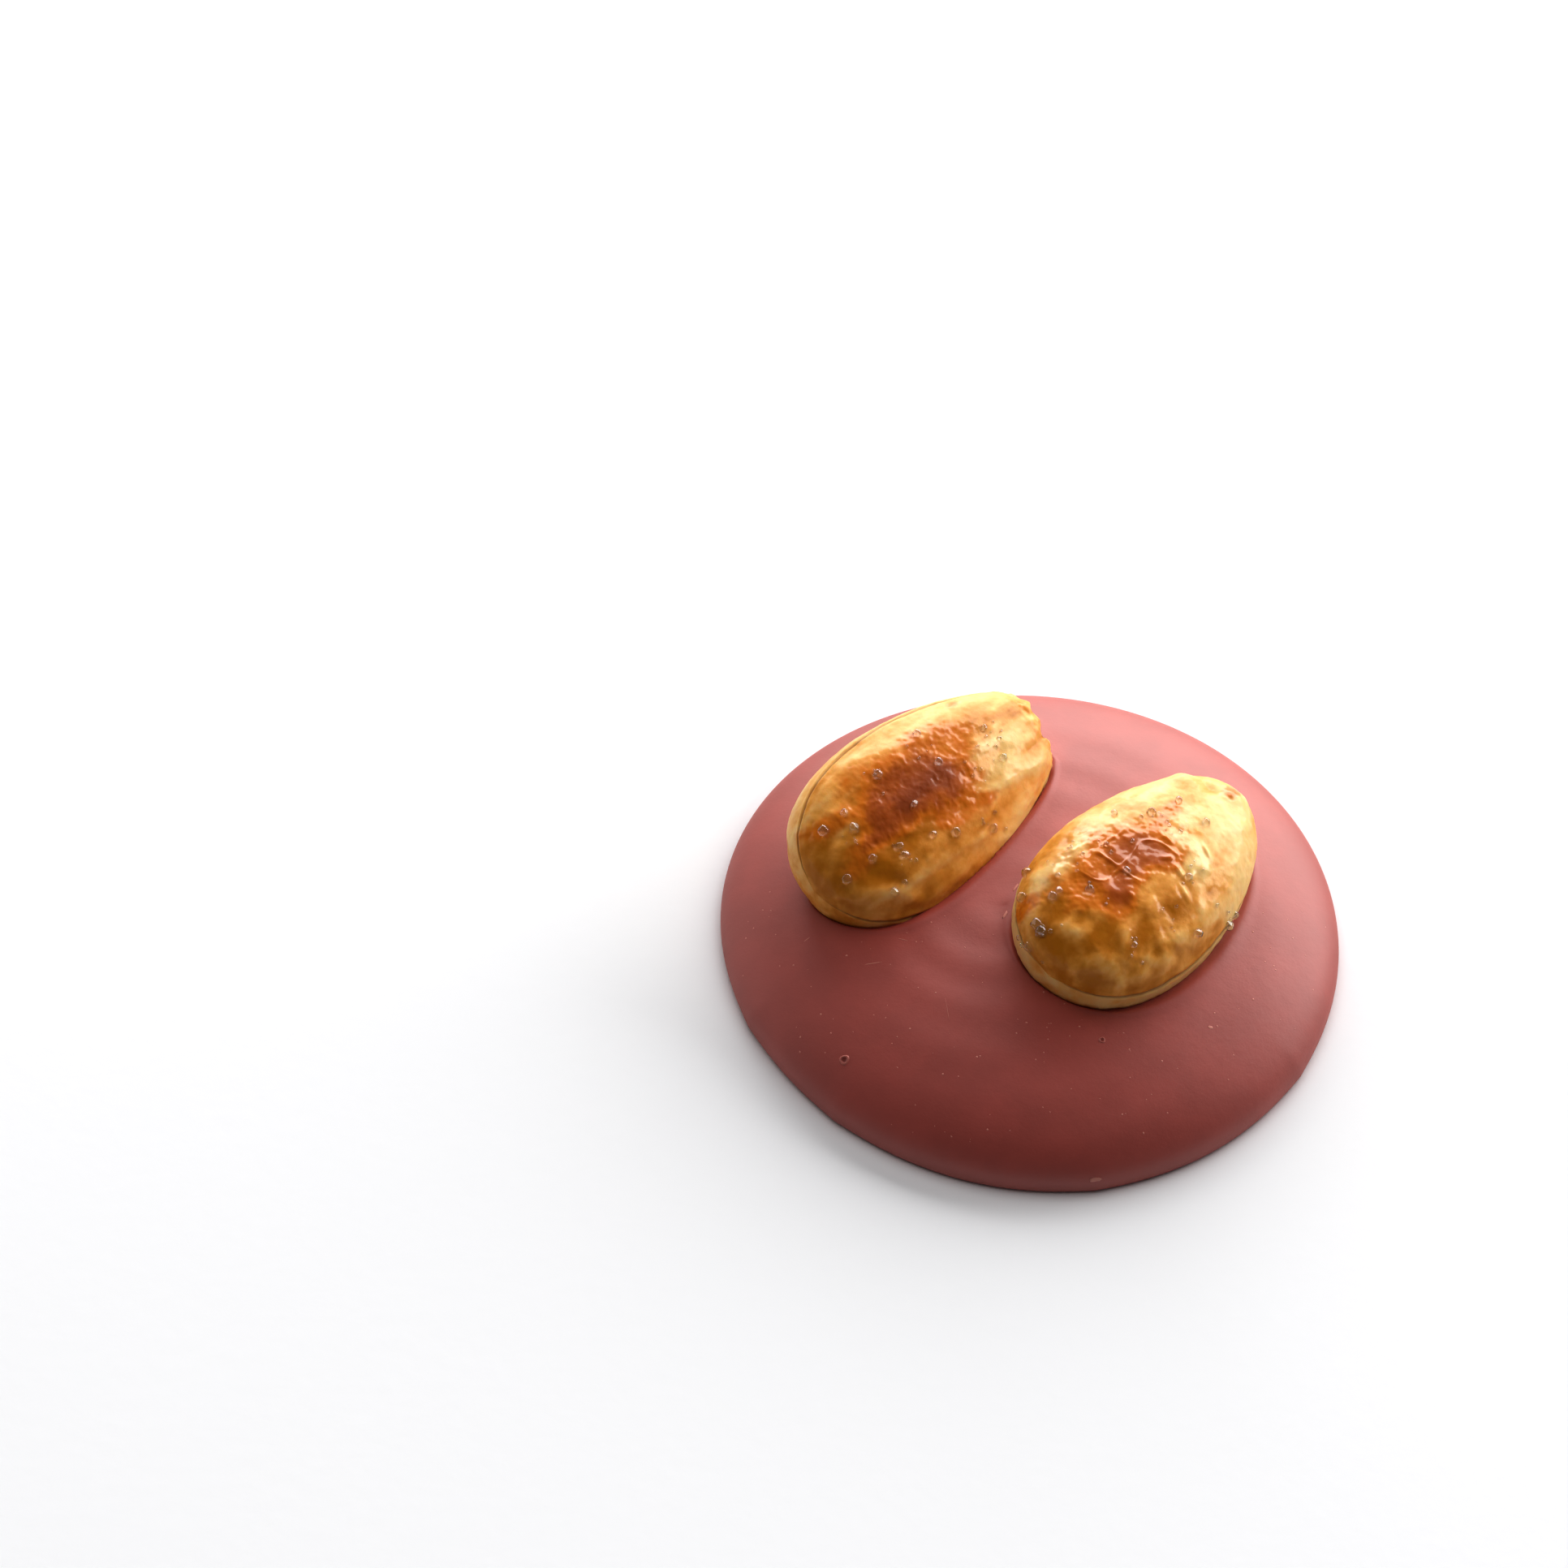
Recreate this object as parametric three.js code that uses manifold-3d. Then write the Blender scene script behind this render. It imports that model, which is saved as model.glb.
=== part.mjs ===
// A ruby chocolate disc: a poured round of pink chocolate with two toasted, salted almonds in its top.
// Units are millimetres and Z is up. The origin is the middle of the flat underside.
import * as THREE from "three";
import { mergeVertices } from "three/addons/utils/BufferGeometryUtils.js";
import Module from "manifold-3d";

const wasm = await Module();
wasm.setup();

// Driving dimensions of the chocolate. Angles are degrees, turned from +X towards +Y.
const disc = {
  radius: 20.95, // mean radius at the widest line
  height: 6.0, // underside to crown
  rimHeight: 0.6, // height of the widest line
  rimTuck: 0.3, // how far the edge draws in below that line
  crownPower: 2.4, // 2 is an ellipse, a larger power is flatter on top
  oval: { share: 0.02, facing: -48.7 },
  lobes: { share: 0.01, facing: 37.6 },
  corners: { rise: 0.14, spread: 4.5, fade: 12, facings: [-34, -80, -131, 202] },
  swirl: { depth: 0.025, pitch: 3.4, x: -1.9, y: -1.6 }, // the spiral left by pouring
  columns: 96,
  crownRows: 18,
  tuckRows: 3,
};

// Driving dimensions of the almonds. Length runs along the local X with the pointed tip at +X, width along Y.
// The seam between the two halves is given as an angle above the widest line.
const almonds = {
  almond_left: {
    length: 22.0,
    width: 13.0,
    thickness: 7.5,
    taper: 0.27,
    tipPower: -0.1,
    seamAngle: 22,
    place: { x: -7.05, y: 6.5, z: 6.6, heading: 46, pitch: 1.5, roll: 28 },
    // The tip is broken off square, in three steps from the far side to the near side.
    brokenTip: { at: 9.85, steps: [0.45, 0, -0.4], stepWidth: 1.7, crumb: 0.12 },
    ridges: { depth: 0.09, count: 11 },
    wrinkles: { depth: 0.03, pitch: 2.6, middle: -6.5, spread: 3 },
    knobs: [],
    // The clearest grains of salt, as places along and across the upper face.
    grains: [
      [-8.9, 2.8], [-7.4, 1.7], [-7.8, -0.7], [-5.8, -1.9], [-9.8, -0.7],
      [-7.8, -3.3], [-5.7, -1.1], [-1.7, -2.8], [-3.4, 3.5], [1.2, -4.1],
    ],
  },
  almond_right: {
    length: 20.6,
    width: 13.0,
    thickness: 8.2,
    taper: 0.17,
    tipPower: 0,
    seamAngle: 7.5,
    place: { x: 7.2, y: -0.8, z: 6.8, heading: 51.5, pitch: 3, roll: 11 },
    brokenTip: null,
    ridges: { depth: 0.05, count: 9 },
    wrinkles: { depth: 0.05, pitch: 2.4, middle: -6, spread: 3.2 },
    // A nib, a notch and a torn flake of skin round the tip.
    knobs: [
      { x: 7.4, y: 2.7, rise: 0.32, spread: 0.8 },
      { x: 8.1, y: 0.9, rise: -0.3, spread: 0.7 },
      { x: 8.9, y: -0.6, rise: 0.3, spread: 0.9 },
    ],
    grains: [
      [-9.4, 2.0], [-9.2, 2.5], [-7.7, 4.7], [-5.7, 5.8], [-7.3, 2.9], [1.2, -6.2],
      [2.3, -5.9], [-10.0, 2.2], [-5.6, 1.3], [-2.0, -5.5], [2.7, 2.3], [0.2, -2.7],
    ],
  },
};

const kernel = {
  endPower: 0.85, // how full the ends are along the length
  depthPower: 0.7, // the thickness falls off more slowly than the width
  sectionPower: 0.88, // 1 is an elliptical section, less is squarer
  seamDepth: 0.25,
  seamHalfWidth: 0.3,
  ridgeSway: { swing: 0.25, waves: 3 }, // how the ridges bend from side to side along the length
  wrinkleSway: { swing: 0.5, rate: 0.9 }, // how the wrinkles bend across the width
  crumbWaves: { across: 2.9, up: 3.7, start: 1.3 }, // the crumbly face of a broken tip
  rows: 30,
  upperSteps: 19,
  lowerSteps: 15,
};

const salt = {
  perAlmond: 18, // the placed grains, then further ones by rule
  largest: 0.4, // radii
  smallest: 0.22,
  sunk: 0.35, // share of the radius below the surface
  alongReach: 0.74, // share of the half length and half width that the salt covers
  acrossReach: 0.66,
  tumble: { x: 2.1, z: 1.3 }, // turn from each grain to the next, in radians
};

const socketGap = 0.35; // air between an almond and the chocolate round it
const slopeStep = 0.02; // radians between the points that give a surface's slope
const widthSamples = 400;
// Two steps that spread points evenly over a face, as multiples of them never line up.
const alongStep = 0.7548776662;
const acrossStep = 0.569840291;
const finishes = {
  chocolate_disc: { color: 0xb4696a, roughness: 0.42, metalness: 0 },
  almond_left: { color: 0xdfa04a, roughness: 0.3, metalness: 0 },
  almond_right: { color: 0xe6ad55, roughness: 0.28, metalness: 0 },
};

const radians = THREE.MathUtils.degToRad;
const clamp = THREE.MathUtils.clamp;
const bell = (distance, spread) => Math.exp(-((distance / spread) ** 2));
const signedPower = (value, power) => Math.sign(value) * Math.abs(value) ** power;
const fraction = (value) => value - Math.floor(value);

// A closed surface on a sphere's grid: place(row, column) gives each corner. Both end rows are single points.
function closedGrid(columns, rows, place) {
  const geometry = new THREE.SphereGeometry(1, columns, rows);
  const corners = geometry.getAttribute("position");
  for (let row = 0; row <= rows; row++) {
    for (let column = 0; column <= columns; column++) {
      const point = place(row, column % columns);
      corners.setXYZ(row * (columns + 1) + column, point.x, point.y, point.z);
    }
  }
  return geometry;
}

// A three.js surface as a solid that can be cut and joined.
function solidFrom(geometry) {
  const bare = new THREE.BufferGeometry();
  bare.setAttribute("position", geometry.getAttribute("position"));
  bare.setIndex(geometry.index);
  const merged = mergeVertices(bare, 1e-4);
  return new wasm.Manifold(
    new wasm.Mesh({
      numProp: 3,
      vertProperties: new Float32Array(merged.getAttribute("position").array),
      triVerts: new Uint32Array(merged.index.array),
    }),
  );
}

// A finished solid as a three.js surface.
function geometryFrom(solid) {
  const mesh = solid.getMesh();
  const geometry = new THREE.BufferGeometry();
  geometry.setAttribute("position", new THREE.BufferAttribute(mesh.vertProperties, 3));
  geometry.setIndex(new THREE.BufferAttribute(mesh.triVerts, 1));
  geometry.computeVertexNormals();
  return geometry;
}

// Radius of the disc in a direction: an oval, three shallow lobes and a few blunt corners that fade inwards.
function discRadius(angle, share) {
  const { radius, oval, lobes, corners } = disc;
  const ovalPart = oval.share * Math.cos(2 * (angle - radians(oval.facing)));
  const lobePart = lobes.share * Math.cos(3 * (angle - radians(lobes.facing)));
  let cornerPart = 0;
  for (const facing of corners.facings) {
    const turn = angle - radians(facing);
    const away = Math.abs(Math.atan2(Math.sin(turn), Math.cos(turn)));
    cornerPart += corners.rise * Math.exp(-away / radians(corners.spread));
  }
  return radius * (1 + ovalPart + lobePart) + cornerPart * share ** corners.fade;
}

// Height of the spiral ripple in the top, fading out towards the edge.
function swirlHeight(x, y, share) {
  const { depth, pitch, x: swirlX, y: swirlY } = disc.swirl;
  const distance = Math.hypot(x - swirlX, y - swirlY);
  const turn = Math.atan2(y - swirlY, x - swirlX);
  return depth * Math.sin((2 * Math.PI * distance) / pitch + turn) * (1 - share ** 4);
}

// A point of the domed crown, from its middle at slope 0 to the widest line at a quarter turn.
function crownPoint(angle, slope) {
  const share = Math.sin(slope) ** (2 / disc.crownPower);
  const reach = share * discRadius(angle, share);
  const x = reach * Math.cos(angle);
  const y = reach * Math.sin(angle);
  const dome = disc.rimHeight + (disc.height - disc.rimHeight) * Math.cos(slope);
  return new THREE.Vector3(x, y, dome + swirlHeight(x, y, share));
}

// A point of the foot, which draws in from the widest line down to the flat underside.
function footPoint(angle, slope) {
  const reach = discRadius(angle, 1) - disc.rimTuck * (1 - Math.cos(slope));
  const z = disc.rimHeight * (1 - Math.sin(slope));
  return new THREE.Vector3(reach * Math.cos(angle), reach * Math.sin(angle), z);
}

// The poured disc before the almonds: the crown, the foot and the underside's middle.
function discSurface() {
  const { columns, crownRows, tuckRows } = disc;
  const rows = crownRows + tuckRows + 1;
  return closedGrid(columns, rows, (row, column) => {
    const angle = (2 * Math.PI * column) / columns;
    if (row === rows) return new THREE.Vector3(0, 0, 0);
    if (row > crownRows) return footPoint(angle, ((row - crownRows) / tuckRows) * (Math.PI / 2));
    return crownPoint(angle, (row / crownRows) * (Math.PI / 2));
  });
}

// Angles round an almond's section, with three lines close together at the seam on each side.
function sectionAngles(almond) {
  const seam = radians(almond.seamAngle);
  const half = kernel.seamHalfWidth / (almond.width / 2);
  const upperSpan = Math.PI - 2 * (seam + half);
  const lowerSpan = Math.PI + 2 * (seam - half);
  const lowerStart = Math.PI - seam + half;
  const angles = [seam - half, seam];
  for (let i = 0; i <= kernel.upperSteps; i++) {
    angles.push(seam + half + (upperSpan * i) / kernel.upperSteps);
  }
  angles.push(Math.PI - seam);
  for (let i = 0; i < kernel.lowerSteps; i++) {
    angles.push(lowerStart + (lowerSpan * i) / kernel.lowerSteps);
  }
  return angles;
}

// The plan outline from the tip at 0 to the blunt end at pi: a sine dome, leaning to the blunt end.
function planWidth(almond, along) {
  const lean = 1 - almond.taper * Math.cos(along);
  return Math.sin(along) ** kernel.endPower * lean * Math.sin(along / 2) ** almond.tipPower;
}

// Largest value of the plan outline's formula, found once so that the width is the true width.
function fullestWidth(almond) {
  let most = 0;
  for (let i = 1; i < widthSamples; i++) {
    most = Math.max(most, planWidth(almond, (Math.PI * i) / widthSamples));
  }
  return most;
}

// Where the broken tip ends at this distance across: three ledges and a crumbly face.
function tipLimit(almond, y, z) {
  if (!almond.brokenTip) return almond.length;
  const { at, steps, stepWidth, crumb } = almond.brokenTip;
  const { across, up, start } = kernel.crumbWaves;
  const index = clamp(Math.floor(steps.length / 2 - y / stepWidth), 0, steps.length - 1);
  return at + steps[index] + crumb * Math.sin(across * y + start) * Math.sin(up * z);
}

// The smooth kernel: a point at an angle along the length and an angle round the section.
function kernelPoint(almond, along, around) {
  const { sectionPower, depthPower } = kernel;
  const width = along <= 0 || along >= Math.PI ? 0 : planWidth(almond, along) / almond.fullest;
  const y = (almond.width / 2) * width * signedPower(Math.cos(around), sectionPower);
  const z = (almond.thickness / 2) * width ** depthPower * signedPower(Math.sin(around), sectionPower);
  const x = Math.min((almond.length / 2) * Math.cos(along), tipLimit(almond, y, z));
  return new THREE.Vector3(x, y, z);
}

// Outward direction of the smooth kernel, from two short steps along its surface.
function kernelNormal(almond, along, around) {
  if (along < slopeStep) return new THREE.Vector3(1, 0, 0);
  if (along > Math.PI - slopeStep) return new THREE.Vector3(-1, 0, 0);
  const lengthways = kernelPoint(almond, along + slopeStep, around);
  const roundways = kernelPoint(almond, along, around + slopeStep);
  lengthways.sub(kernelPoint(almond, along - slopeStep, around));
  roundways.sub(kernelPoint(almond, along, around - slopeStep));
  return lengthways.cross(roundways).normalize();
}

// Relief of the toasted skin: the seam groove, lengthwise ridges, wrinkles near the blunt end and the knobs.
function skinRelief(almond, along, around, point) {
  const { seamDepth, ridgeSway, wrinkleSway } = kernel;
  const { ridges, wrinkles } = almond;
  const seam = radians(almond.seamAngle);
  const onSeam = Math.min(Math.abs(around - seam), Math.abs(around - (Math.PI - seam))) < 1e-6;
  const middle = Math.sin(along);
  let relief = onSeam ? -seamDepth * Math.sqrt(middle) : 0;
  if (point.z < 0) return relief;
  const sway = ridgeSway.swing * Math.sin(ridgeSway.waves * along);
  relief += ridges.depth * Math.sin(ridges.count * (around + sway)) * middle * Math.sin(around);
  const bend = wrinkleSway.swing * Math.sin(wrinkleSway.rate * point.y);
  const wave = Math.sin((2 * Math.PI * (point.x + bend)) / wrinkles.pitch);
  relief += wrinkles.depth * wave * bell(point.x - wrinkles.middle, wrinkles.spread) * Math.sin(around);
  for (const knob of almond.knobs) {
    relief += knob.rise * bell(Math.hypot(point.x - knob.x, point.y - knob.y), knob.spread);
  }
  return relief;
}

// The rotation and place that set an almond into the chocolate.
function placing(almond) {
  const { x, y, z, heading, pitch, roll } = almond.place;
  const turn = new THREE.Euler(radians(roll), radians(pitch), radians(heading), "ZYX");
  return new THREE.Matrix4().makeRotationFromEuler(turn).setPosition(x, y, z);
}

// An almond's surface in place. With a swell it is the plain kernel grown outwards, which cuts its socket.
function almondSurface(almond, swell) {
  const angles = sectionAngles(almond);
  const matrix = placing(almond);
  return closedGrid(angles.length, kernel.rows, (row, column) => {
    const along = (Math.PI * row) / kernel.rows;
    const around = row === 0 || row === kernel.rows ? Math.PI : angles[column];
    const point = kernelPoint(almond, along, around);
    const lift = swell > 0 ? swell : skinRelief(almond, along, around, point);
    return point.addScaledVector(kernelNormal(almond, along, around), lift).applyMatrix4(matrix);
  });
}

// The two angles of a spot on an almond's upper face, given by its places along and across.
function anglesAt(almond, x, y) {
  const along = Math.acos(clamp((2 * x) / almond.length, -0.99, 0.99));
  const halfWidth = ((almond.width / 2) * planWidth(almond, along)) / almond.fullest;
  const across = signedPower(clamp(y / halfWidth, -0.98, 0.98), 1 / kernel.sectionPower);
  return { along, around: Math.acos(across) };
}

// Spots of the salt grains: the clearest ones first, then an even spread by the two steps.
function grainSpots(almond) {
  const spots = [...almond.grains];
  for (let i = spots.length; i < salt.perAlmond; i++) {
    const x = (2 * fraction(i * alongStep) - 1) * salt.alongReach * (almond.length / 2);
    const y = (2 * fraction(i * acrossStep) - 1) * salt.acrossReach * (almond.width / 2);
    spots.push([x, y]);
  }
  return spots;
}

// One crystal of salt: a stretched and turned icosahedron, partly sunk in the almond's skin.
function grainSurface(almond, spot, index) {
  const { along, around } = anglesAt(almond, spot[0], spot[1]);
  const radius = THREE.MathUtils.lerp(salt.largest, salt.smallest, index / salt.perAlmond);
  const geometry = new THREE.IcosahedronGeometry(radius, 0);
  geometry.deleteAttribute("normal");
  geometry.deleteAttribute("uv");
  geometry.scale(1, 0.8 + 0.3 * fraction(index * alongStep), 0.85);
  geometry.rotateX(salt.tumble.x * index);
  geometry.rotateZ(salt.tumble.z * index);
  const point = kernelPoint(almond, along, around);
  point.addScaledVector(kernelNormal(almond, along, around), radius * (1 - 2 * salt.sunk));
  geometry.translate(point.x, point.y, point.z);
  return mergeVertices(geometry.applyMatrix4(placing(almond)), 1e-4);
}

// An almond with its grains of salt joined on.
function almondSolid(almond) {
  let solid = solidFrom(almondSurface(almond, 0));
  grainSpots(almond).forEach((spot, index) => {
    solid = solid.add(solidFrom(grainSurface(almond, spot, index)));
  });
  return solid;
}

// The chocolate with a socket for each almond.
function discSolid() {
  let solid = solidFrom(discSurface());
  for (const almond of Object.values(almonds)) {
    solid = solid.subtract(solidFrom(almondSurface(almond, socketGap)));
  }
  return solid;
}

// A solid as a mesh that carries its node's name and finish.
function namedMesh(name, solid) {
  const mesh = new THREE.Mesh(geometryFrom(solid), new THREE.MeshStandardMaterial(finishes[name]));
  mesh.name = name;
  return mesh;
}

for (const almond of Object.values(almonds)) almond.fullest = fullestWidth(almond);

const group = new THREE.Group();
group.add(namedMesh("chocolate_disc", discSolid()));
for (const [name, almond] of Object.entries(almonds)) group.add(namedMesh(name, almondSolid(almond)));

export default group;
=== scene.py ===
"""A ruby chocolate disc with two toasted, salted almonds in its top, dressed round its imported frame.

Shapes are worked out in millimetres in the part's own frame and scaled to metres as each mesh is made.
"""

import itertools
import math

import bmesh
import bpy
import numpy as np
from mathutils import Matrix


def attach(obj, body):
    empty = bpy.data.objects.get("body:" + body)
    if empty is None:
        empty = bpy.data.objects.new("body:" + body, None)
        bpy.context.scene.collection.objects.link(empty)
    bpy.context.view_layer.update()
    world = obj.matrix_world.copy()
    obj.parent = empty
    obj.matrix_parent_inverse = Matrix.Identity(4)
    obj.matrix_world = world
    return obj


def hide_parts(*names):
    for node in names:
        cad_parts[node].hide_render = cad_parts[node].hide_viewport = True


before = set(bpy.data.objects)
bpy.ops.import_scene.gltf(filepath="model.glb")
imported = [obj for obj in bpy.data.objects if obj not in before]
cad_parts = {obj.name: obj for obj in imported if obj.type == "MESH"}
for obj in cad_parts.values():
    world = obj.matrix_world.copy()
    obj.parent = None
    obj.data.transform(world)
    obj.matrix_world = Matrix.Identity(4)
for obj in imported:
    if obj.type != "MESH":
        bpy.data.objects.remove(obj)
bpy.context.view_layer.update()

# The almonds
# Two whole blanched kernels, roasted until the upper face of each browned and blistered under its glaze.
# A kernel is a surface of two angles: one along it from the pointed tip, and one round its section.
# The seam where its halves meet shows as a groove, and the left kernel has lost its tip.

MM = 0.001
END_POWER = 0.85  # fullness of the ends along the length
DEPTH_POWER = 0.7  # the thickness falls off more slowly than the width
SECTION_POWER = 0.88  # 1 is an elliptical section, less is squarer
KERNEL_ROWS = 380
KERNEL_COLUMNS = 250
TOP_CROWDING = 0.085  # how strongly the columns crowd together on the upper face
POLE_MARGIN = 1e-4  # radians from a pole, where a power of zero has no value
WIDTH_SAMPLES = 402
SHORTEST = 1e-12  # a length to divide by in place of none

# An almond's sizes are in millimetres and its turns in degrees. Its place is that of its own middle.
# Its seam is an angle counted up from the widest line of the section.
# Ridges are their depth and their number round the section. A knob is its place, its height and its spread.
# A spot is its middle, half-length, half-width and turn on the upper face, then its strength.
# Browned spots give colour and blisters. Lumps give height in millimetres and a paler skin, which is a
# painted highlight on them.
# Tones make the skin paler, or deeper where they are below zero.
ALMONDS = {
    "almond_left": dict(
        length=22.0,
        width=13.0,
        thickness=7.5,
        taper=0.27,
        tip_power=-0.1,
        seam=22.0,
        place=(-7.05, 6.5, 6.6),
        heading=46.0,
        pitch=1.5,
        roll=28.0,
        broken=dict(at=9.85, steps=(0.45, 0.0, -0.4), step_width=1.7, crumb=0.12),
        ridges=(0.09, 11),
        wrinkles=dict(depth=0.03, pitch=2.6, middle=-6.5, spread=3.0),
        knobs=(),
        browned=(
            (-1.1, 1.2, 3.6, 1.8, -20, 0.65), (0.9, 0.9, 1.5, 1.1, 20, 0.35),
            (-4.2, 0.6, 2.6, 1.3, 0, 0.6), (-5.0, 2.0, 1.6, 0.8, 0, 0.4),
            (-1.8, 1.6, 5.6, 3.2, -12, 0.36), (-6.4, 0.4, 2.0, 0.8, 5, 0.3),
            (-9.1, 3.0, 1.6, 0.9, -20, 0.4), (-8.6, -0.3, 1.5, 0.9, 10, 0.3),
            (-1.2, -2.2, 1.9, 0.45, -15, 0.3), (1.8, -2.2, 1.4, 0.5, -10, 0.3),
            (3.0, 2.9, 2.6, 0.9, -22, 0.3), (5.4, 4.2, 0.7, 0.4, 0, 0.35),
        ),
        lumps=(
            (-4.6, -0.7, 3.6, 0.3, -24, 0.08), (-3.9, -3.7, 4.4, 0.45, -4, 0.1),
            (-8.6, -2.6, 1.9, 0.4, -35, 0.09), (-9.2, 1.4, 1.6, 0.35, 40, 0.07),
            (4.8, 0.4, 2.6, 0.4, -10, 0.07), (5.6, -2.4, 2.8, 0.5, -6, 0.08),
        ),
        tones=(
            (-6.5, 3.7, 3.2, 0.8, 0, 0.4), (-8.2, 2.0, 1.0, 0.7, 0, 0.4),
            (1.6, -1.2, 1.8, 0.8, -10, 0.5), (-4.6, -4.0, 4.0, 0.8, 0, 0.4),
            (4.6, 2.8, 2.6, 1.6, -10, -0.55), (6.2, -0.6, 2.4, 1.3, -10, 0.45),
            (-6.0, 0.0, 2.4, 0.8, 0, -0.3), (-8.8, 0.2, 1.0, 1.2, 0, -0.12),
            (-7.0, -2.2, 3.0, 0.5, -10, -0.2),
        ),
        blister=dict(pitch=0.5, depth=0.04, creases=0.0, grain=0.03),
        coat_roughness=0.15,
        glaze=0.4,
        figure=dict(stretch=0.28, pitch=1.2, depth=0.045, contrast=0.45),
        pale_below=0.3,
        seed=11,
    ),
    "almond_right": dict(
        length=20.6,
        width=13.0,
        thickness=8.2,
        taper=0.17,
        tip_power=0.0,
        seam=7.5,
        place=(7.2, -0.8, 6.8),
        heading=51.5,
        pitch=3.0,
        roll=11.0,
        broken=None,
        ridges=(0.05, 9),
        wrinkles=dict(depth=0.05, pitch=2.4, middle=-6.0, spread=3.2),
        knobs=((7.4, 2.7, 0.32, 0.8), (8.1, 0.9, -0.3, 0.7), (8.9, -0.6, 0.3, 0.9)),
        browned=(
            (-0.9, 1.1, 2.4, 1.5, -25, 0.5), (-3.2, 0.0, 1.9, 1.2, 10, 0.3),
            (-1.6, 1.6, 5.0, 3.0, -6, 0.36), (-4.8, -0.5, 1.7, 1.1, 30, 0.45),
            (-5.6, 1.6, 1.6, 1.1, 0, 0.25), (2.6, 1.4, 1.9, 0.6, 5, 0.4),
            (0.2, -0.7, 0.9, 1.2, 0, 0.25), (-8.5, 4.2, 2.4, 0.8, -30, 0.45),
            (8.7, -0.3, 0.9, 0.6, 0, 0.4), (-2.6, -3.0, 2.0, 0.6, 5, 0.15),
        ),
        lumps=(
            (-8.4, 0.3, 1.1, 0.6, -60, 0.1), (-5.6, -2.2, 0.8, 0.5, 0, 0.1),
            (-6.6, -2.5, 0.7, 0.4, 50, 0.07), (-8.4, -2.8, 1.2, 0.5, -48, 0.09),
            (-6.1, -4.6, 0.8, 0.3, -50, 0.08), (-5.4, -5.5, 0.8, 0.5, 20, 0.07),
            (-4.8, -4.3, 0.9, 0.35, 60, 0.07), (-8.5, -4.3, 0.4, 0.4, 0, 0.07),
            # The lumps at (1.8, -0.3), (2.2, -1.5) and (1.8, -2.8) are glassy pads whose paleness is a
            # painted reflection of the light.
            (-10.0, -1.2, 0.7, 0.3, 70, 0.08), (1.8, -0.3, 1.0, 0.7, 20, 0.1),
            (2.2, -1.5, 0.9, 0.7, 0, 0.1), (1.8, -2.8, 1.1, 0.6, 10, 0.1),
            (-4.8, 3.9, 1.9, 0.5, 5, 0.09), (4.6, 0.6, 1.1, 0.9, 0, 0.06),
            (6.2, -2.2, 1.6, 0.8, -20, 0.05), (-3.6, -2.4, 0.9, 0.5, 30, 0.09),
            (-1.7, -3.1, 0.8, 0.4, -20, 0.08), (-7.2, -3.6, 0.7, 0.4, -30, 0.08),
            (-3.4, -5.0, 0.9, 0.4, 10, 0.07), (-0.6, -4.6, 0.8, 0.4, 40, 0.07),
            # The narrow lumps from here on are small flakes, painted pale as highlights.
            (0.0, -2.1, 0.5, 0.22, 75, 0.13), (0.4, -2.8, 0.45, 0.2, 20, 0.12),
            (-0.9, -3.3, 0.6, 0.25, 70, 0.13), (0.2, -0.9, 0.4, 0.2, -40, 0.11),
            (1.5, 0.2, 0.6, 0.2, 80, 0.12), (-3.0, -0.3, 0.55, 0.25, -45, 0.1),
            (-3.1, 4.0, 0.75, 0.25, -25, 0.12), (2.9, -2.3, 0.6, 0.2, 65, 0.12),
        ),
        tones=(
            (-4.6, 4.0, 4.6, 0.9, -3, 0.65), (-2.2, -1.9, 1.7, 0.9, -15, 0.4),
            # The tone at (0.4, -2.6) paints the highlight on the flakes there.
            (0.4, -2.6, 1.5, 1.1, 0, 0.5), (-3.6, -3.7, 2.2, 0.7, -10, 0.15),
            (-8.4, 0.3, 1.4, 0.8, -60, 0.1), (5.5, -1.5, 3.6, 2.2, 0, 0.45),
            (-7.4, -1.4, 1.5, 0.9, -60, -0.3), (-6.8, 1.5, 1.4, 1.1, -60, -0.3),
            (-9.3, -2.6, 1.2, 0.6, -60, -0.2), (-2.0, -3.2, 0.9, 0.6, -40, -0.25),
            (-7.0, -4.4, 1.5, 0.5, -50, -0.2), (-5.0, -0.9, 1.8, 0.9, 15, -0.2),
        ),
        blister=dict(pitch=1.5, depth=0.07, creases=0.07, grain=0.04),
        coat_roughness=0.1,
        glaze=0.5,
        figure=dict(stretch=0.7, pitch=1.2, depth=0.045, contrast=0.45),
        pale_below=0.8,
        seed=23,
    ),
}


def signed_power(value, power):
    """The size of a value raised to a power, with the value's own sign."""
    return np.sign(value) * np.abs(value) ** power


def smooth_step(value, low, high):
    """Eased rise from 0 at the low value to 1 at the high value."""
    share = np.clip((value - low) / (high - low), 0, 1)
    return share * share * (3 - 2 * share)


def plan_width(almond, along):
    """Half-width share: a sine dome, times a straight lean, times a power of the half-angle's sine."""
    lean = 1 - almond["taper"] * np.cos(along)
    return np.sin(along) ** END_POWER * lean * np.sin(along / 2) ** almond["tip_power"]


def fullest_width(almond):
    """Largest value of the plan formula, so that the stated width is the true width."""
    return plan_width(almond, np.linspace(0.0, np.pi, WIDTH_SAMPLES)[1:-1]).max()


RISER_SHARE = 0.2  # half-width of the slope between two ledges of a broken tip, as a share of a ledge
CRUMBS = dict(across=2.9, shift=1.3, upwards=3.7)  # the broken face's two waves, in radians per millimetre


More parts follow.
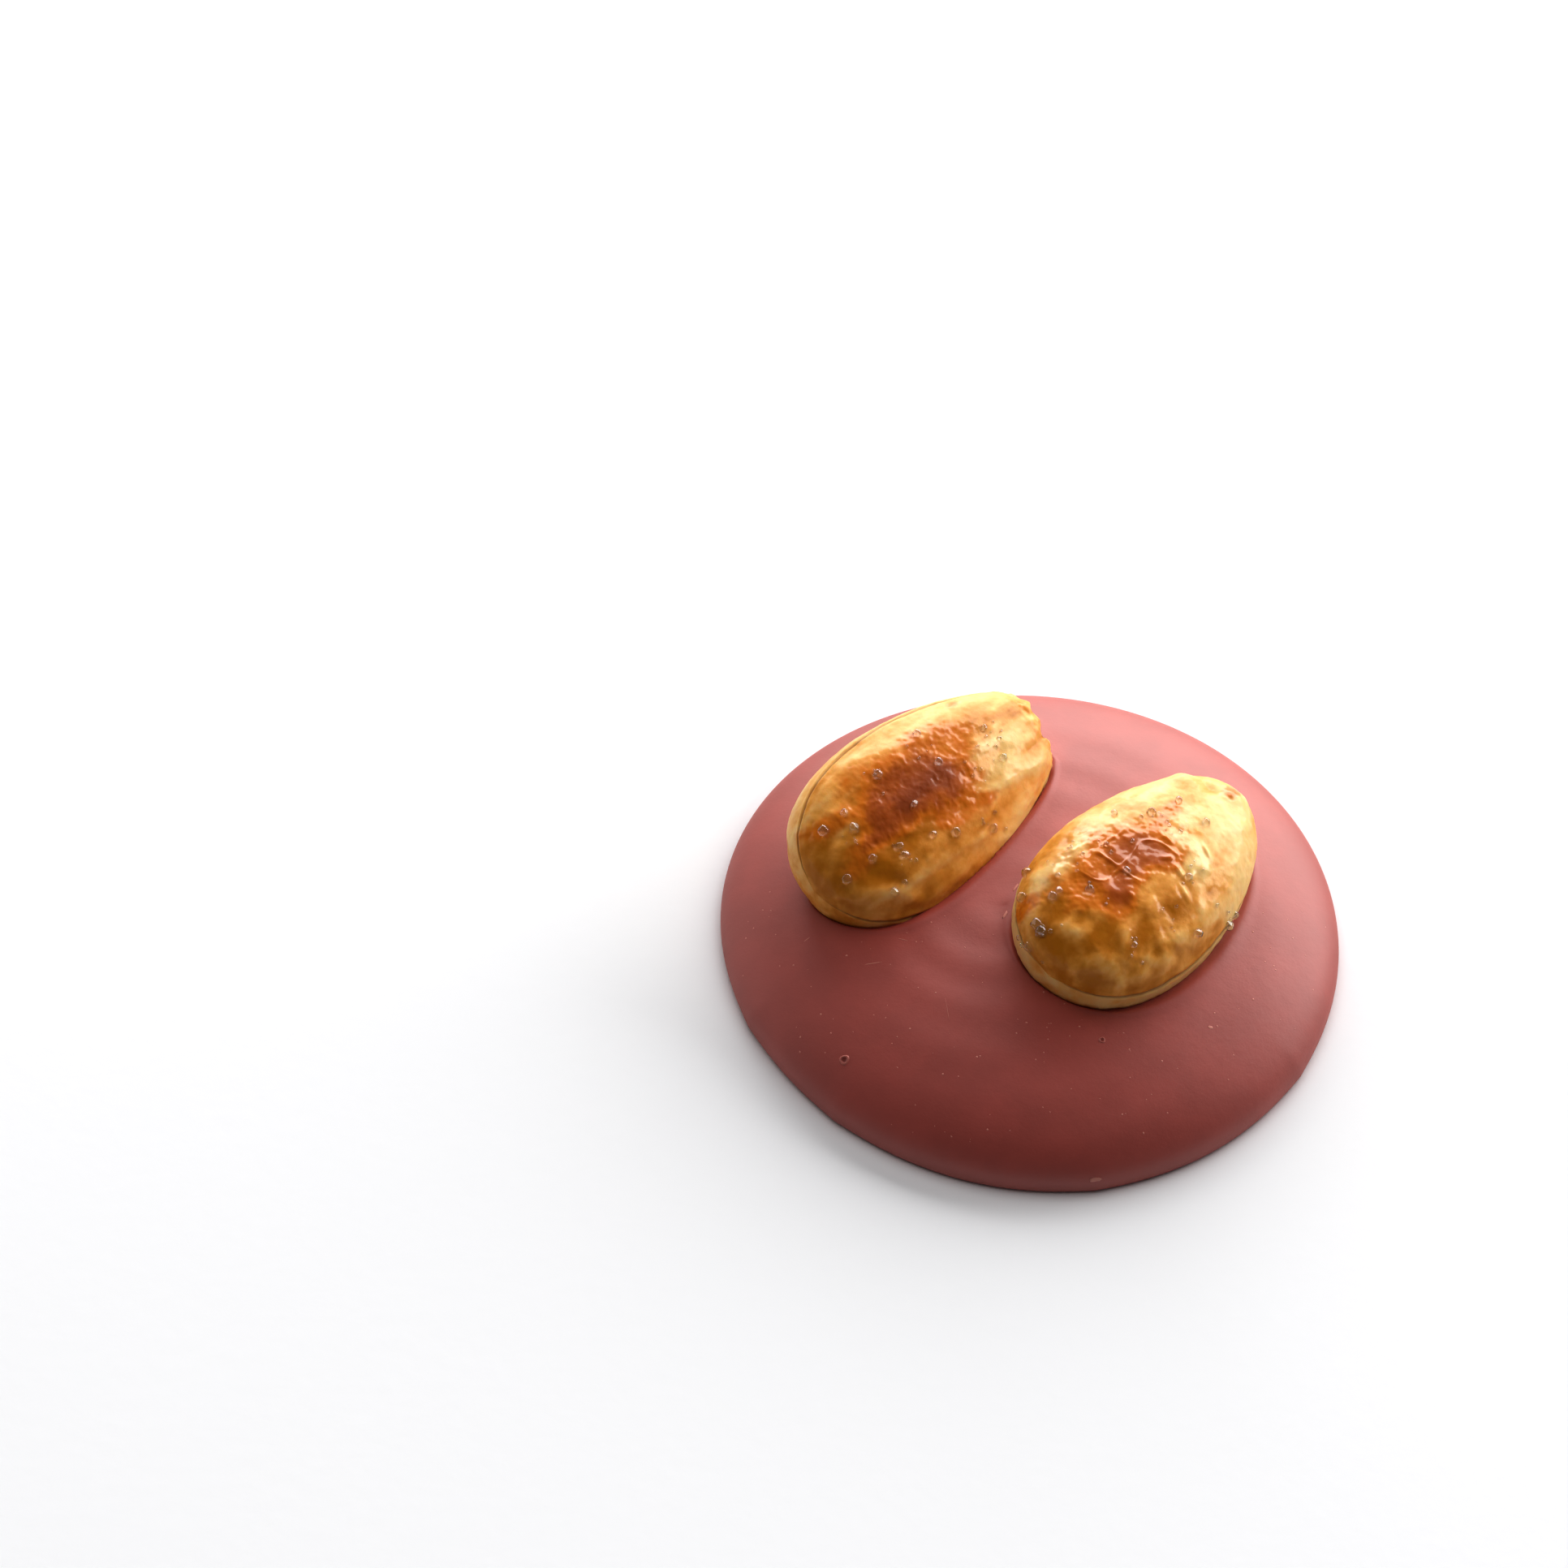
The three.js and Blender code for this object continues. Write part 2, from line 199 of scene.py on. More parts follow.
def tip_limit(almond, y, z):
    """How far along the broken tip reaches: three ledges across, with a face of two crossed waves."""
    broken = almond["broken"]
    if broken is None:
        return np.full_like(y, almond["length"])
    steps = broken["steps"]
    count = len(steps) / 2 - y / broken["step_width"]
    ledge = steps[0]
    for i in range(1, len(steps)):
        ledge = ledge + (steps[i] - steps[i - 1]) * smooth_step(count, i - RISER_SHARE, i + RISER_SHARE)
    wave = np.sin(CRUMBS["across"] * y + CRUMBS["shift"])
    return broken["at"] + ledge + broken["crumb"] * wave * np.sin(CRUMBS["upwards"] * z)


def kernel_surface(almond, along, around):
    """Smooth kernel: x is the first angle's cosine, y and z are powers of the second's cosine and sine."""
    off_pole = np.clip(along, POLE_MARGIN, np.pi - POLE_MARGIN)
    width = plan_width(almond, off_pole) / fullest_width(almond)
    y = almond["width"] / 2 * width * signed_power(np.cos(around), SECTION_POWER)
    z = almond["thickness"] / 2 * width**DEPTH_POWER * signed_power(np.sin(around), SECTION_POWER)
    x = np.minimum(almond["length"] / 2 * np.cos(along), tip_limit(almond, y, z))
    return np.stack([x, y, z], axis=-1)


def grid_normals(points):
    """Unit normals of a grid closed along its second axis: the cross product of its two differences."""
    down = np.gradient(points, axis=0)
    right = np.roll(points, -1, axis=1) - np.roll(points, 1, axis=1)
    normal = np.cross(down, right)
    return normal / np.maximum(np.linalg.norm(normal, axis=-1, keepdims=True), SHORTEST)


def orientation(almond):
    """Rotation that rolls about the length, then pitches about the width, then heads about the vertical."""
    turns = np.radians([almond["roll"], almond["pitch"], almond["heading"]])
    roll_x, pitch_x, head_x = np.cos(turns)
    roll_y, pitch_y, head_y = np.sin(turns)
    about_length = np.array([[1, 0, 0], [0, roll_x, -roll_y], [0, roll_y, roll_x]])
    about_width = np.array([[pitch_x, 0, pitch_y], [0, 1, 0], [-pitch_y, 0, pitch_x]])
    about_vertical = np.array([[head_x, -head_y, 0], [head_y, head_x, 0], [0, 0, 1]])
    return about_vertical @ about_width @ about_length


def put_in_place(almond, points):
    """Turns points from the almond's own frame and moves them to its place."""
    return points @ orientation(almond).T + np.array(almond["place"])


LATTICE_SIDE = 32  # cells along each side before the noise repeats


def lattice_noise(points, pitch, seed):
    """Smooth noise from -1 to 1: seeded values on a cubic lattice, eased and blended in each cell."""
    values = np.random.default_rng(seed).uniform(-1, 1, (LATTICE_SIDE, LATTICE_SIDE, LATTICE_SIDE))
    scaled = points / pitch
    cell = np.floor(scaled).astype(int)
    part = scaled - cell
    ease = part * part * (3 - 2 * part)
    total = np.zeros(points.shape[:-1])
    for corner in itertools.product((0, 1), repeat=3):
        index = np.moveaxis((cell + corner) % LATTICE_SIDE, -1, 0)
        nearness = np.moveaxis(np.abs(1 - np.array(corner) - ease), -1, 0)
        total += values[tuple(index)] * (nearness[0] * nearness[1] * nearness[2])
    return total


def layered_noise(points, pitch, layers, seed):
    """Several layers of lattice noise, each at half the pitch and half the strength of the one before."""
    total = np.zeros(points.shape[:-1])
    for layer in range(layers):
        total += lattice_noise(points, pitch / 2**layer, seed + layer) / 2**layer
    return total


# Each noise of the skin is its pitch in millimetres, its layers and what it adds to the almond's seed.
NOISES = dict(
    browned_edges=(1.5, 4, 0),
    lump_edges=(1.5, 4, 5),
    tone_edges=(1.5, 4, 7),
    pores=(0.6, 2, 25),
    figure_sway=(2.6, 1, 28),
    torn_face=(0.9, 3, 30),
    ridge_wobble=(3.0, 2, 40),
    wrinkle_bend=(3.2, 1, 50),
    seam_wander=(2.4, 2, 60),
    seam_strength=(1.7, 1, 61),
    creases=(1.9, 1, 80),
    fringe=(0.45, 2, 90),
)
RAGGED = dict(browned=0.28, lump=0.12, tone=0.15)  # how far a spot's edge strays, in its half-widths
SPOT_POWER = 2.5  # of the distance in a spot's bell, where 2 would be a plain one
SPOT_HEIGHTS = (0.0, 1.0)  # a spot fades in over these heights above the middle of the kernel


def skin_noise(almond, points, name):
    """One of the skin's noises, drawn from the almond's own seed."""
    pitch, layers, draw = NOISES[name]
    return layered_noise(points, pitch, layers, almond["seed"] + draw)


def spot_sum(almond, points, spots, kind):
    """Sum of ragged bells on the upper face: each falls with a power of the distance in half-widths."""
    total = np.zeros(points.shape[:-1])
    rough = RAGGED[kind] * skin_noise(almond, points, kind + "_edges")
    for x, y, half_length, half_width, turn, strength in spots:
        from_x = points[..., 0] - x
        from_y = points[..., 1] - y
        lengthways = from_x * math.cos(math.radians(turn)) + from_y * math.sin(math.radians(turn))
        crossways = from_y * math.cos(math.radians(turn)) - from_x * math.sin(math.radians(turn))
        distance = np.hypot(lengthways / half_length, crossways / half_width) + rough
        total += strength * np.exp(-np.clip(distance, 0, None) ** SPOT_POWER)
    return total * smooth_step(points[..., 2], *SPOT_HEIGHTS)


# The seam wanders by an angle in radians. Its depth is uneven about a middling share of the full one.
SEAM = dict(depth=0.24, half_width=0.12, wander=0.03, middling=0.75, uneven=0.5)
SEAM_LIPS = dict(height=0.07, offset=0.42, spread=0.3)


def seam_distance(almond, around, points):
    """Distance from the wandering seam in millimetres, above it positive and below it negative."""
    elevation = np.where(around < np.pi / 2, around, np.pi - around)
    wander = SEAM["wander"] * skin_noise(almond, points, "seam_wander")
    return (elevation - math.radians(almond["seam"]) - wander) * almond["width"] / 2


def seam_relief(almond, along, points, across):
    """The groove where the two halves meet, deeper and shallower by turns, between two low lips."""
    strength = SEAM["middling"] + SEAM["uneven"] * skin_noise(almond, points, "seam_strength")
    bell = np.exp(-((across / SEAM["half_width"]) ** 2))
    groove = -SEAM["depth"] * strength * bell * np.sqrt(np.sin(along))
    from_lip = (np.abs(across) - SEAM_LIPS["offset"]) / SEAM_LIPS["spread"]
    lips = SEAM_LIPS["height"] * np.exp(-(from_lip**2)) * np.sin(along)
    return groove + lips


RIDGE_SWAY = dict(wave=0.25, half_waves=3, wobble=0.14)  # radians, and half-waves along the kernel
WRINKLE_BEND = dict(wave=0.5, rate=0.9, wobble=0.6)  # millimetres, and the wave's radians per millimetre


def ridge_relief(almond, along, around, points):
    """Lengthwise ridges, then broad wrinkles across the blunt end, both fading towards the underside."""
    upper = np.clip(np.sin(around), 0, 1)
    depth, count = almond["ridges"]
    sway = RIDGE_SWAY["wave"] * np.sin(RIDGE_SWAY["half_waves"] * along)
    sway = sway + RIDGE_SWAY["wobble"] * skin_noise(almond, points, "ridge_wobble")
    relief = depth * np.sin(count * (around + sway)) * np.sin(along) * upper
    wrinkles = almond["wrinkles"]
    bend = WRINKLE_BEND["wave"] * np.sin(WRINKLE_BEND["rate"] * points[..., 1])
    bend += WRINKLE_BEND["wobble"] * skin_noise(almond, points, "wrinkle_bend")
    wave = np.sin(2 * np.pi * (points[..., 0] + bend) / wrinkles["pitch"])
    window = np.exp(-(((points[..., 0] - wrinkles["middle"]) / wrinkles["spread"]) ** 2))
    relief += wrinkles["depth"] * wave * window * upper
    for x, y, rise, spread in almond["knobs"]:
        distance = np.hypot(points[..., 0] - x, points[..., 1] - y)
        relief += rise * np.exp(-((distance / spread) ** 2)) * (points[..., 2] > 0)
    return relief


FIGURE = dict(sway=0.35, layers=4, draw=20)


def skin_figure(almond, points):
    """Wrinkled figure of the skin: layered noise drawn out along the length, paler where it is higher,
    partly as a painted highlight on its crests and partly as the skin's own mottling.
    """
    figure = almond["figure"]
    swayed = points + FIGURE["sway"] * skin_noise(almond, points, "figure_sway")[..., None]
    drawn_out = swayed * np.array([figure["stretch"], 1, 1])
    return layered_noise(drawn_out, figure["pitch"], FIGURE["layers"], almond["seed"] + FIGURE["draw"])


PORE_DEPTH = 0.02
# The film over the browned skin swells as the browning rises through this range.
SWOLLEN_FROM = (0.25, 0.6)
FILM = dict(layers=3, draw=70, level=0.6)
CREASE_SPREAD = 0.07  # of the creases' noise, either side of zero
# The film is only grainy along the fringe of a browned patch, between these two ranges of the browning.
FRINGE_IN = (0.05, 0.25)
FRINGE_OUT = (0.5, 0.9)
TORN = dict(height=0.15, start=1.4, end=0.2)  # a broken tip's roughness, and how far short of the break


def skin_relief(almond, along, around, points, across, browning, lumps):
    """Height of the finished skin over the smooth kernel: the sum of all that stands up or sinks in."""
    relief = seam_relief(almond, along, points, across)
    relief += ridge_relief(almond, along, around, points)
    relief += lumps
    fine = almond["figure"]["depth"] * skin_figure(almond, points)
    relief += fine + PORE_DEPTH * skin_noise(almond, points, "pores")
    blister = almond["blister"]
    film = layered_noise(points, blister["pitch"], FILM["layers"], almond["seed"] + FILM["draw"])
    swollen = smooth_step(browning, *SWOLLEN_FROM)
    relief += blister["depth"] * swollen * (FILM["level"] - np.abs(film))
    crease = np.exp(-((skin_noise(almond, points, "creases") / CREASE_SPREAD) ** 2))
    relief += blister["creases"] * swollen * crease
    fringe = smooth_step(browning, *FRINGE_IN) * (1 - smooth_step(browning, *FRINGE_OUT))
    relief += blister["grain"] * fringe * skin_noise(almond, points, "fringe")
    if almond["broken"] is not None:
        break_at = almond["broken"]["at"]
        torn = smooth_step(points[..., 0], break_at - TORN["start"], break_at - TORN["end"])
        relief += TORN["height"] * torn * skin_noise(almond, points, "torn_face")
    return relief


def closed_mesh(name, rings, first, last):
    """A closed surface: rings of points from pole to pole, joined by quads, with a fan at each pole."""
    rows, columns = rings.shape[:2]
    corners = np.concatenate([rings.reshape(-1, 3), [first], [last]]) * MM
    index = np.arange(rows * columns).reshape(rows, columns)
    beside = np.roll(index, -1, axis=1)
    quads = np.stack([index[:-1], index[1:], beside[1:], beside[:-1]], axis=-1).reshape(-1, 4)
    top = np.stack([np.full(columns, rows * columns), index[0], beside[0]], axis=-1)
    bottom = np.stack([index[-1], np.full(columns, rows * columns + 1), beside[-1]], axis=-1)
    mesh = bpy.data.meshes.new(name)
    mesh.from_pydata(corners.tolist(), [], quads.tolist() + top.tolist() + bottom.tolist())
    mesh.shade_smooth()
    return mesh


def add_attribute(mesh, name, values):
    """A number for each corner of a closed mesh. Each pole takes the mean of the ring nearest to it."""
    filled = np.concatenate([values.ravel(), [values[0].mean(), values[-1].mean()]])
    attribute = mesh.attributes.new(name, "FLOAT", "POINT")
    attribute.data.foreach_set("value", filled.astype(np.float32))


def kernel_angles():
    """The grid's two angles, with the columns crowded on the upper face where the skin shows most."""
    along = np.linspace(0, np.pi, KERNEL_ROWS + 2)[1:-1, None]
    share = np.linspace(0, 1, KERNEL_COLUMNS, endpoint=False)[None, :]
    around = 2 * np.pi * (share + TOP_CROWDING * np.sin(2 * np.pi * share)) - np.pi / 2
    return np.broadcast_arrays(along, around)


# How much paler the skin turns towards its tip, its back and its front, each over a range in millimetres.
# Part of this is the skin's own paler colour and part is painted light: brightness painted where the back
# light falls on the tip and the back, and a painted sheen along the front flank.
PALER = dict(tip=0.65, back=0.45, front=0.4)
TIP_RANGE = (-3.5, 6.0)
BACK_RANGE = (1.0, 5.0)
FRONT_RANGE = (3.0, 5.5)
BELOW_SEAM_RANGE = (-0.2, 0.5)
# How much paler it turns for each millimetre that a lump or a ridge is high. On the lumps this paleness is
# a painted highlight, and on the ridges it is partly a painted highlight along the crests and partly the
# skin's own figure.
PAINTED_HIGHLIGHT_PER_LUMP = 4.5
PALER_PER_RIDGE = 1.5


def skin_paleness(almond, along, around, points, across, lumps):
    """Paleness: the sum of smooth steps to the skin's edges, its lumps, ridges, tones and figure."""
    # Partly painted light: brighter towards the lit tip and back, and a painted sheen along the front
    # flank.
    paleness = PALER["tip"] * smooth_step(points[..., 0], *TIP_RANGE)
    paleness += PALER["back"] * smooth_step(points[..., 1], *BACK_RANGE)
    paleness += PALER["front"] * smooth_step(-points[..., 1], *FRONT_RANGE)
    paleness += almond["pale_below"] * (1 - smooth_step(across, *BELOW_SEAM_RANGE))
    # Painted highlight: the lumps are painted paler, and the ridges partly so along their crests.
    paleness += PAINTED_HIGHLIGHT_PER_LUMP * lumps + PALER_PER_RIDGE * ridge_relief(almond, along, around, points)
    paleness += spot_sum(almond, points, almond["tones"], "tone")
    # The figure's crests are painted paler, partly as painted highlight and partly as the skin's own
    # mottling.
    paleness += almond["figure"]["contrast"] * skin_figure(almond, points)
    return paleness


DARK_SEAM_SPREAD = 0.2
DARK_SEAM_ENDS = (0.0, 0.2)  # of the sine of the angle along the kernel
# The glaze has a least weight, grows over browned skin and lumps, and thins down the flanks.
LEAST_GLAZE = 0.35
GLAZE_PER_LUMP = 3.0
GLAZED_FROM = (0.05, 0.3)
GLAZE_HEIGHTS = (1.0, 2.8)


def almond_skin(almond):
    """The finished skin as a grid in the almond's own frame, with the numbers that colour each point."""
    along, around = kernel_angles()
    points = kernel_surface(almond, along, around)
    across = seam_distance(almond, around, points)
    browning = spot_sum(almond, points, almond["browned"], "browned")
    lumps = spot_sum(almond, points, almond["lumps"], "lump")
    relief = skin_relief(almond, along, around, points, across, browning, lumps)
    paleness = skin_paleness(almond, along, around, points, across, lumps)
    seam = np.exp(-((across / DARK_SEAM_SPREAD) ** 2)) * smooth_step(np.sin(along), *DARK_SEAM_ENDS)
    glaze = LEAST_GLAZE + almond["glaze"] * smooth_step(browning + GLAZE_PER_LUMP * lumps, *GLAZED_FROM)
    glaze *= smooth_step(points[..., 2], *GLAZE_HEIGHTS)
    skin = points + relief[..., None] * grid_normals(points)
    return skin, {"browning": browning, "paleness": paleness, "seam": seam, "glaze": glaze}


def almond_mesh(name, almond, skin, numbers):
    """The skin of one almond put in place, with its numbers as attributes."""
    mesh = closed_mesh(
        name,
        put_in_place(almond, skin),
        put_in_place(almond, skin[0].mean(axis=0)),
        put_in_place(almond, skin[-1].mean(axis=0)),
    )
    for label, values in numbers.items():
        add_attribute(mesh, label, values)
    return mesh


# A Mix node's sockets for colours, by number, because they share their names with its others.
MIX_SHARE = 0
MIX_FIRST = 6
MIX_SECOND = 7
MIX_RESULT = 2


class Finish:
    """One material and short calls that add its nodes and link them."""

    def __init__(self, name):
        self.material = bpy.data.materials.new(name)
        self.material.use_nodes = True
        self.tree = self.material.node_tree
        self.shader = self.tree.nodes["Principled BSDF"]

    def feed(self, socket, value):
        """Links an output to a socket, or sets the socket's own value."""
        if isinstance(value, bpy.types.NodeSocket):
            self.tree.links.new(value, socket)
        else:
            socket.default_value = value

    def sum(self, kind, first, second):
        """The result of one math node."""
        node = self.tree.nodes.new("ShaderNodeMath")
        node.operation = kind
        self.feed(node.inputs[0], first)
        self.feed(node.inputs[1], second)
        return node.outputs[0]

    def step(self, value, low, high):
        """Eased rise from 0 at the low value to 1 at the high value."""
        node = self.tree.nodes.new("ShaderNodeMapRange")
        node.interpolation_type = "SMOOTHSTEP"
        self.feed(node.inputs["Value"], value)
        node.inputs["From Min"].default_value = low
        node.inputs["From Max"].default_value = high
        return node.outputs["Result"]

    def blend(self, share, first, second):
        """A colour between two colours."""
        node = self.tree.nodes.new("ShaderNodeMix")
        node.data_type = "RGBA"
        self.feed(node.inputs[MIX_SHARE], share)
        self.feed(node.inputs[MIX_FIRST], first)
        self.feed(node.inputs[MIX_SECOND], second)
        return node.outputs[MIX_RESULT]

    def attribute(self, name):
        """A named number carried by the mesh."""
        node = self.tree.nodes.new("ShaderNodeAttribute")
        node.attribute_name = name
        return node.outputs["Fac"]

    def noise(self, scale, detail, roughness):
        """Fractal noise from 0 to 1 on object coordinates, at a scale in features per metre."""
        node = self.tree.nodes.new("ShaderNodeTexNoise")
        coordinates = self.tree.nodes.new("ShaderNodeTexCoord")
        self.feed(node.inputs["Vector"], coordinates.outputs["Object"])
        node.inputs["Scale"].default_value = scale
        node.inputs["Detail"].default_value = detail
        node.inputs["Roughness"].default_value = roughness
        return node.outputs["Fac"]

    def bump(self, height, distance):
        """A bump of a true height in metres, over the one that is already there, if any."""
        node = self.tree.nodes.new("ShaderNodeBump")
        node.inputs["Distance"].default_value = distance
        self.feed(node.inputs["Height"], height)
        normal = self.shader.inputs["Normal"]
        if normal.is_linked:
            self.feed(node.inputs["Normal"], normal.links[0].from_socket)
        self.feed(normal, node.outputs["Normal"])

    def set(self, **values):
        """Numbers, colours and outputs for the shader's sockets, by name with _ for each space."""
        for name, value in values.items():
            self.feed(self.shader.inputs[name.replace("_", " ")], value)


# Linear colours of the skin, from the palest to the most browned, and of its seam.
SKIN_CREAM = (0.88, 0.61, 0.26, 1.0)
SKIN_GOLD = (0.84, 0.41, 0.085, 1.0)
SKIN_AMBER = (0.54, 0.2, 0.004, 1.0)
SKIN_ORANGE = (0.68, 0.215, 0.005, 1.0)
SKIN_BROWN = (0.45, 0.11, 0.004, 1.0)
SKIN_DARK = (0.31, 0.065, 0.006, 1.0)
SKIN_SEAM = (0.3, 0.1, 0.015, 1.0)
# Amber turns to gold and then to cream over these ranges of the paleness.
GOLD_RANGE = (-0.25, 0.75)
CREAM_RANGE = (0.3, 1.3)
# Whatever it is, it turns to orange, to brown and to dark brown over these ranges of the browning.
ORANGE_RANGE = (0.08, 0.42)
BROWN_RANGE = (0.35, 0.85)
DARK_RANGE = (0.75, 1.4)
# How strongly a fine and a coarse noise shift the paleness, and the two of them the browning.
FINE_SHIFT = 0.8
COARSE_SHIFT = 0.5
BROWNING_SHIFT = 0.3
SEAM_SHADE = 0.85


def skin_finish(name, almond):
    """Toasted skin: amber to cream by paleness, then orange to dark by browning, under a clear glaze."""
    finish = Finish(name)
    mottle = finish.sum("SUBTRACT", finish.noise(scale=900, detail=5, roughness=0.65), 0.5)
    cloud = finish.sum("SUBTRACT", finish.noise(scale=260, detail=3, roughness=0.5), 0.5)
    fine = finish.sum("MULTIPLY", mottle, FINE_SHIFT)
    coarse = finish.sum("MULTIPLY", cloud, COARSE_SHIFT)
    uneven = finish.sum("ADD", fine, coarse)
    paleness = finish.sum("ADD", finish.attribute("paleness"), uneven)
    patchy = finish.sum("MULTIPLY", uneven, BROWNING_SHIFT)
    browning = finish.sum("ADD", finish.attribute("browning"), patchy)
    colour = finish.blend(finish.step(paleness, *GOLD_RANGE), SKIN_AMBER, SKIN_GOLD)
    colour = finish.blend(finish.step(paleness, *CREAM_RANGE), colour, SKIN_CREAM)
    colour = finish.blend(finish.step(browning, *ORANGE_RANGE), colour, SKIN_ORANGE)
    colour = finish.blend(finish.step(browning, *BROWN_RANGE), colour, SKIN_BROWN)
    colour = finish.blend(finish.step(browning, *DARK_RANGE), colour, SKIN_DARK)
    colour = finish.blend(finish.sum("MULTIPLY", finish.attribute("seam"), SEAM_SHADE), colour, SKIN_SEAM)
    finish.set(Base_Color=colour, Roughness=0.45, Specular_IOR_Level=0.3)
    finish.set(Subsurface_Weight=0.3, Subsurface_Radius=(1.0, 0.4, 0.1), Subsurface_Scale=0.001)
    finish.set(Coat_Weight=finish.attribute("glaze"), Coat_Roughness=almond["coat_roughness"], Coat_IOR=1.5)
    finish.bump(finish.noise(scale=3000, detail=3, roughness=0.6), distance=0.000015)
    return finish.material


def add_piece(mesh, material, replaced=None):
    """An object at the origin that rides on the part, takes the given material and hides the part it
    replaces, if any.
    """
    piece = bpy.data.objects.new(mesh.name, mesh)
    bpy.context.scene.collection.objects.link(piece)
    mesh.materials.append(material)
    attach(piece, "root")
    if replaced is not None:
        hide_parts(replaced)


SKINS = {name: almond_skin(almond) for name, almond in ALMONDS.items()}
for almond_name, almond in ALMONDS.items():
    skin_name = "toasted_" + almond_name
    skin_mesh = almond_mesh(skin_name, almond, *SKINS[almond_name])
    add_piece(skin_mesh, skin_finish("skin of " + almond_name, almond), almond_name)

# The salt
# Coarse crystals and beads of half-melted salt, caught in the glaze as it set on each almond's upper face.
# The largest lie where the part's own grains are. Smaller ones gather round them and on the browned skin.

SALT_PER_ALMOND = 18
SALT_LARGEST = 0.4
SALT_SMALLEST = 0.22
SALT_FINEST = (0.06, 0.17)
SALT_SUNK = 0.42  # how far a grain is sunk in the skin, as a share of its own thickness
SALT_STRETCH = (0.75, 1.1)
SALT_SUBDIVISIONS = 3
# Steps of the even spread, in shares of the face, and how much of the almond's length and width it covers.
ALONG_STEP = 0.7548776662
ACROSS_STEP = 0.569840291
ALONG_REACH = 0.74
ACROSS_REACH = 0.66
# The clearest grains, as places along and across the upper face, and the middles of the clusters.
GRAINS = {
    "almond_left": [
        (-8.9, 2.8), (-7.4, 1.7), (-7.8, -0.7), (-5.8, -1.9), (-9.8, -0.7),
        (-7.8, -3.3), (-5.7, -1.1), (-1.7, -2.8), (-3.4, 3.5), (1.2, -4.1),
    ],
    "almond_right": [
        (-9.4, 2.0), (-9.2, 2.5), (-7.7, 4.7), (-5.7, 5.8), (-7.3, 2.9), (1.2, -6.2),
        (2.3, -5.9), (-10.0, 2.2), (-5.6, 1.3), (-2.0, -5.5), (2.7, 2.3), (0.2, -2.7),
    ],
}
CLUSTERS = {
    "almond_left": [
        (2.3, -0.2), (4.8, 0.6), (6.0, 0.9), (-3.6, 3.3),
        (-8.2, 1.2), (-6.4, -1.6), (1.0, -3.6), (0.6, 3.0),
    ],
    "almond_right": [
        (-5.6, 1.3), (-9.3, 2.3), (-9.9, 1.8), (-5.0, 3.9), (-3.4, 4.1), (2.6, 2.2),
        (0.4, -2.6), (1.6, -5.8), (-3.2, -4.2), (-7.0, -3.6), (-1.9, 2.4), (2.9, 0.8),
    ],
}
CLUSTER_GRAINS = 5
CLUSTER_SPREAD = 0.6
SALT_SQUARENESS = 3.0  # 2 is a ball, a larger power nears a box
SALT_ROUGHNESS = 0.12
# The noise that roughens a lump, in radii of it, and how far apart in that noise the lumps may lie.
LUMP_PITCH = 0.9
LUMP_LAYERS = 2
LUMP_OFFSET = 30


def ball(subdivisions):
    """Corners and faces of a unit icosphere."""
    shape = bmesh.new()
    bmesh.ops.create_icosphere(shape, subdivisions=subdivisions, radius=1.0)
    corners = np.array([corner.co[:] for corner in shape.verts])
    faces = np.array([[corner.index for corner in face.verts] for face in shape.faces])
    shape.free()
    return corners, faces


def random_turns(count, rng):
    """Evenly spread random rotation matrices, from normalised random quaternions."""
    drawn = rng.normal(size=(4, count))
    w, x, y, z = drawn / np.linalg.norm(drawn, axis=0)
    rows = [
        [1 - 2 * (y * y + z * z), 2 * (x * y - w * z), 2 * (x * z + w * y)],
        [2 * (x * y + w * z), 1 - 2 * (x * x + z * z), 2 * (y * z - w * x)],
        [2 * (x * z - w * y), 2 * (y * z + w * x), 1 - 2 * (x * x + y * y)],
    ]
    return np.moveaxis(np.array(rows), -1, 0)


def scattered_mesh(name, base, centres, sizes, turns, squareness, roughness):
    """Many lumps in one mesh: a ball over its own power norm, roughened, sized, turned and moved."""
    corners, faces = base
    norm = (np.abs(corners) ** squareness).sum(axis=1, keepdims=True) ** (1 / squareness)
    offsets = np.random.default_rng(len(centres)).uniform(0, LUMP_OFFSET, (len(centres), 1, 3))
    lumps = 1 + roughness * layered_noise(corners[None] + offsets, LUMP_PITCH, LUMP_LAYERS, len(centres))
    shaped = (corners / norm)[None] * lumps[..., None] * sizes[:, None, :]
    placed = np.einsum("nij,nkj->nki", turns, shaped) + centres[:, None, :]
    joined = faces[None] + (np.arange(len(centres)) * len(corners))[:, None, None]
    mesh = bpy.data.meshes.new(name)
    mesh.from_pydata((placed.reshape(-1, 3) * MM).tolist(), [], joined.reshape(-1, 3).tolist())
    mesh.shade_smooth()
    return mesh


OUT_OF_REACH = 100  # millimetres, more than any way across the part


def spot_on(points, normals, x, y):
    """The point and the outward normal of a surface grid's upper side nearest to a place in plan."""
    distance = np.hypot(points[..., 0] - x, points[..., 1] - y) + OUT_OF_REACH * (points[..., 2] < 0)
    nearest = np.unravel_index(np.argmin(distance), distance.shape)
    return points[nearest], normals[nearest]


